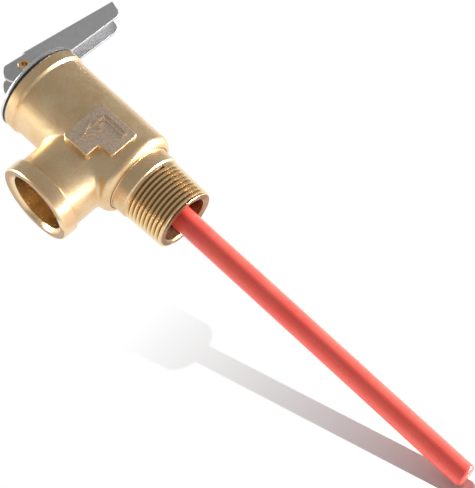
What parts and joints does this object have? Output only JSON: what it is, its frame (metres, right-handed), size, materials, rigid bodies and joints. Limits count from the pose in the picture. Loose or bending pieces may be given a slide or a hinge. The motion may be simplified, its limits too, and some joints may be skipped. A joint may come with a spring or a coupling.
{
  "type": "temperature and pressure relief valve",
  "caption": "Brass relief valve with a tapered male inlet thread, a female side outlet, a steel test lever and a long coated temperature probe.",
  "frame": {"origin": "on the inlet axis, at the large end of the male inlet thread", "axes": "+Z along the inlet axis towards the lever, +X out of the outlet port, +Y out of the flow plate"},
  "size_m": [0.0806, 0.0369, 0.2285],
  "materials": {
    "cast_brass": "blasted casting with machined threads and collar",
    "machined_brass": "fine turned",
    "stainless": "satin sheet",
    "spring_steel": "drawn wire",
    "black_rubber": "smooth",
    "silicone": "smooth moulded",
    "red_coating": "glossy plastic sleeve",
    "copper": "drawn copper tube",
    "wax": "waxy"
  },
  "bodies": {
    "root": {"valve_body": "cast_brass", "cap_gasket": "black_rubber", "cap_plate": "stainless", "adjusting_plug": "machined_brass", "stem_seal": "black_rubber", "upper_spring_seat": "machined_brass", "probe_coating": "red_coating", "thermostat_tube": "copper", "wax_charge": "wax", "piston_seal": "black_rubber", "thermostat_head": "machined_brass", "thermostat_spider": "machined_brass", "spider_ring": "spring_steel"},
    "disc_carriage": {"disc_holder": "machined_brass", "seat_disc": "silicone", "disc_washer": "machined_brass", "disc_screw": "machined_brass", "stem_clip": "spring_steel", "load_spring": "spring_steel"},
    "stem": {"stem": "machined_brass"},
    "lever": {"test_lever": "stainless", "lever_pin": "machined_brass"},
    "push_rod": {"thermostat_piston": "spring_steel"}
  },
  "joints": [
    {"name": "lever_tilt", "type": "hinge", "parent": "stem", "child": "lever", "pos_m": [0, 0, 0.06865], "axis": [-0.0872, 0.9962, 0], "range_deg": [0, 80]},
    {"name": "stem_swivel", "type": "hinge", "parent": "disc_carriage", "child": "stem", "pos_m": [0, 0, 0.05], "axis": [0, 0, 1], "continuous": true},
    {"name": "disc_lift", "type": "slide", "parent": "root", "child": "disc_carriage", "axis": [0, 0, 1], "range_m": [0, 0.0022], "stiffness_N_per_m": 16000, "springref_m": -0.0125, "deforming": ["load_spring"]},
    {"name": "piston_push", "type": "slide", "parent": "root", "child": "push_rod", "axis": [0, 0, 1], "range_m": [0, 0.0025]}
  ],
  "couplings": [
    {"joint": "disc_lift", "follows": "lever_tilt", "m_per_rad": 0.0015756}
  ]
}
